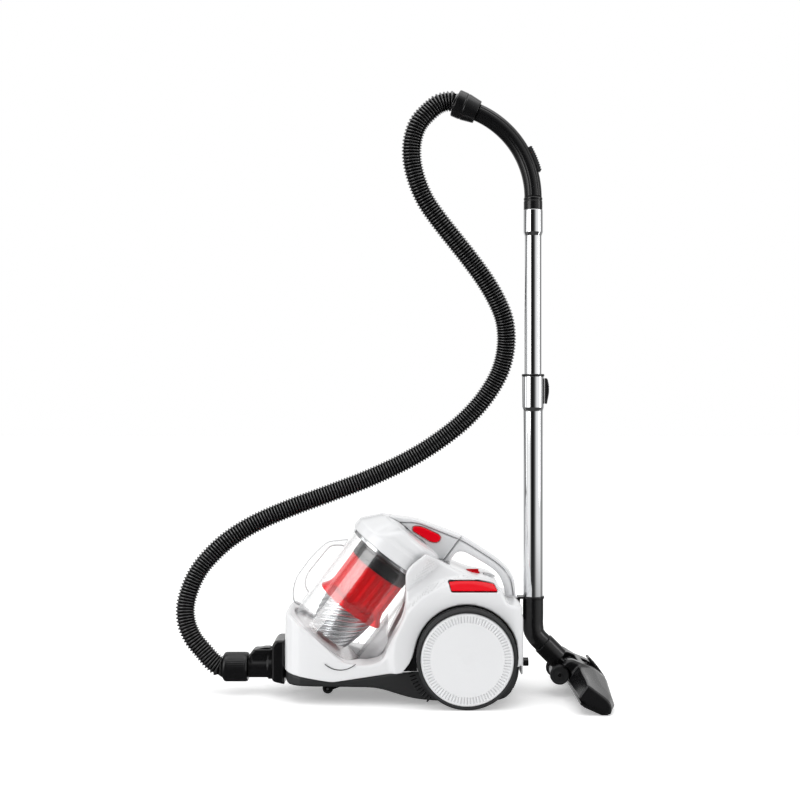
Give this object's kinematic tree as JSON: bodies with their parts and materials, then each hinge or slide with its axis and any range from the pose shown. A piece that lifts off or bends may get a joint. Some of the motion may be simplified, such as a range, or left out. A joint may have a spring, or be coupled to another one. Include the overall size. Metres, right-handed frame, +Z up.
{
  "type": "canister vacuum cleaner",
  "caption": "Bagless canister vacuum cleaner with a clear cyclone bin, ribbed hose, chrome telescopic wand and floor nozzle, parked upright.",
  "frame": {"origin": "centre of the floor footprint of everything but the free hose, on the floor", "axes": "+Z up, -X towards the hose inlet at the front, +X towards the parked wand and nozzle, +Y to the machine's right-hand side"},
  "size_m": [0.7665, 0.3, 1.0706],
  "materials": {
    "gloss_white": "glossy moulded white",
    "light_grey": "satin",
    "dark_grey": "fine matte",
    "black_plastic": "satin",
    "tyre_rubber": "matte",
    "gloss_red": "glossy",
    "clear_red": "translucent",
    "clear_plastic": "clear",
    "silver_plastic": "silver sprayed",
    "chrome_tube": "polished",
    "bare_steel": "plain",
    "motor_body": "cast",
    "filter_foam": "porous",
    "hose_skin": "ribbed"
  },
  "bodies": {
    "canister": {"chassis_base": "dark_grey", "body_shell": "gloss_white", "motor": "motor_body", "exhaust_filter": "filter_foam", "cord_outlet": "black_plastic", "gauge_window": "light_grey", "carry_handle": "gloss_white", "handle_cover": "gloss_white", "axle_left": "bare_steel", "axle_right": "bare_steel", "arch_liner_left": "black_plastic", "arch_liner_right": "black_plastic", "inlet_port": "black_plastic", "hose_connector": "black_plastic", "hose": "hose_skin"},
    "reel": {"cord_reel": "black_plastic"},
    "power_switch": {"power_pedal": "gloss_red"},
    "rewind_switch": {"rewind_pedal": "gloss_red"},
    "dial": {"suction_dial": "gloss_red"},
    "drive_wheel_left": {"tyre_left": "tyre_rubber", "wheel_hub_left": "gloss_white"},
    "drive_wheel_right": {"tyre_right": "tyre_rubber", "wheel_hub_right": "gloss_white"},
    "caster": {"caster_fork": "black_plastic", "caster_axle": "bare_steel"},
    "caster_roller": {"caster_wheel": "tyre_rubber"},
    "inlet_clip": {"connector_latch": "black_plastic"},
    "inlet_cuff": {"hose_cuff": "black_plastic"},
    "dust_bin": {"bin_cup": "clear_plastic", "bin_door": "clear_plastic", "inlet_duct": "clear_plastic", "door_latch": "dark_grey", "door_hinge": "bare_steel", "bin_handle": "clear_plastic"},
    "lid": {"bin_lid": "gloss_white", "lid_bridge": "light_grey", "bridge_cover": "gloss_white", "rim_ring": "chrome_tube", "shroud_band": "black_plastic", "cyclone_shroud": "clear_red", "cyclone_core": "clear_red", "cyclone_cone": "silver_plastic", "lid_filter": "filter_foam"},
    "bin_release": {"release_button": "gloss_red"},
    "wand_upper": {"handle_grip": "black_plastic", "grip_collar": "black_plastic", "upper_tube": "chrome_tube"},
    "grip_cuff": {"handle_cuff": "black_plastic"},
    "air_bleed": {"bleed_slider": "dark_grey"},
    "wand_lower": {"lower_tube": "chrome_tube", "tube_ring": "black_plastic", "nozzle_neck": "black_plastic"},
    "tube_lock": {"lock_button": "black_plastic"},
    "yoke": {"swivel_yoke": "black_plastic"},
    "roller_left": {"nozzle_wheel_left": "tyre_rubber"},
    "roller_right": {"nozzle_wheel_right": "tyre_rubber"},
    "floor_head": {"nozzle_head": "black_plastic", "sole_plate": "black_plastic"},
    "brush": {"brush_strip": "dark_grey"},
    "head_pedal": {"nozzle_pedal": "black_plastic"}
  },
  "joints": [
    {"name": "drive_wheel_left_spin", "type": "hinge", "parent": "canister", "child": "drive_wheel_left", "pos_m": [0.0904, -0.105, 0.0845], "axis": [0, 1, 0], "continuous": true},
    {"name": "drive_wheel_right_spin", "type": "hinge", "parent": "canister", "child": "drive_wheel_right", "pos_m": [0.0904, 0.105, 0.0845], "axis": [0, 1, 0], "continuous": true},
    {"name": "caster_swivel", "type": "hinge", "parent": "canister", "child": "caster", "pos_m": [-0.122, 0, 0.027], "axis": [0, 0, 1], "continuous": true},
    {"name": "caster_roll", "type": "hinge", "parent": "caster", "child": "caster_roller", "pos_m": [-0.1503, 0, 0.0095], "axis": [0, 1, 0], "continuous": true},
    {"name": "reel_spin", "type": "hinge", "parent": "canister", "child": "reel", "pos_m": [0.104, 0.047, 0.094], "axis": [0, 1, 0], "continuous": true},
    {"name": "power_pedal_press", "type": "slide", "parent": "canister", "child": "power_switch", "axis": [0, 0, -1], "range_m": [0, 0.0015], "stiffness_N_per_m": 400},
    {"name": "rewind_pedal_press", "type": "slide", "parent": "canister", "child": "rewind_switch", "axis": [0, 0, -1], "range_m": [0, 0.0015], "stiffness_N_per_m": 400},
    {"name": "suction_dial_turn", "type": "hinge", "parent": "canister", "child": "dial", "pos_m": [0.1069, 0, 0.2145], "axis": [0.1704, 0, 0.9854], "range_deg": [-60, 60]},
    {"name": "connector_latch_press", "type": "slide", "parent": "canister", "child": "inlet_clip", "axis": [0, 0, -1], "range_m": [0, 0.0018], "stiffness_N_per_m": 300},
    {"name": "hose_cuff_swivel", "type": "hinge", "parent": "canister", "child": "inlet_cuff", "pos_m": [-0.314, 0, 0.0463], "axis": [1, 0, 0], "continuous": true},
    {"name": "bin_lift", "type": "slide", "parent": "canister", "child": "dust_bin", "axis": [0.6018, 0, 0.7986], "range_m": [0, 0.115]},
    {"name": "lid_lift", "type": "slide", "parent": "dust_bin", "child": "lid", "axis": [0.6018, 0, 0.7986], "range_m": [0, 0.055]},
    {"name": "release_button_press", "type": "slide", "parent": "lid", "child": "bin_release", "axis": [0, 1, 0], "range_m": [0, 0.003], "stiffness_N_per_m": 300},
    {"name": "wand_lift", "type": "slide", "parent": "canister", "child": "wand_upper", "axis": [0, 0, 1], "range_m": [0, 0.06], "deforming": ["hose"]},
    {"name": "handle_cuff_swivel", "type": "hinge", "parent": "wand_upper", "child": "grip_cuff", "pos_m": [0.09705, 0, 1.03921], "axis": [0.9157, 0, -0.4019], "continuous": true},
    {"name": "bleed_slide", "type": "hinge", "parent": "wand_upper", "child": "air_bleed", "pos_m": [0.049, 0, 0.88], "axis": [0, 1, 0], "range_deg": [-4, 4]},
    {"name": "telescope", "type": "slide", "parent": "wand_upper", "child": "wand_lower", "axis": [0, 0, 1], "range_m": [0, 0.24]},
    {"name": "tube_lock_press", "type": "slide", "parent": "wand_lower", "child": "tube_lock", "axis": [0, 0, -1], "range_m": [0, 0.006], "stiffness_N_per_m": 200},
    {"name": "nozzle_swivel", "type": "hinge", "parent": "wand_lower", "child": "yoke", "pos_m": [0.2319, 0, 0.0882], "axis": [0.7071, 0, -0.7071], "range_deg": [-15, 15]},
    {"name": "nozzle_wheel_left_spin", "type": "hinge", "parent": "yoke", "child": "roller_left", "pos_m": [0.2573, -0.028, 0.0382], "axis": [0, 1, 0], "continuous": true},
    {"name": "nozzle_wheel_right_spin", "type": "hinge", "parent": "yoke", "child": "roller_right", "pos_m": [0.2573, 0.028, 0.0382], "axis": [0, 1, 0], "continuous": true},
    {"name": "nozzle_tilt", "type": "hinge", "parent": "yoke", "child": "floor_head", "pos_m": [0.2573, 0, 0.0382], "axis": [0, 1, 0], "range_deg": [-33, 0]},
    {"name": "nozzle_pedal_rock", "type": "hinge", "parent": "floor_head", "child": "head_pedal", "pos_m": [0.337, 0, 0.0285], "axis": [0, 1, 0], "range_deg": [-10, 0]},
    {"name": "brush_drop", "type": "slide", "parent": "floor_head", "child": "brush", "axis": [-0.412, 0, -0.9112], "range_m": [0, 0.004]}
  ],
  "couplings": [
    {"joint": "brush_drop", "follows": "nozzle_pedal_rock", "m_per_rad": -0.0229}
  ]
}
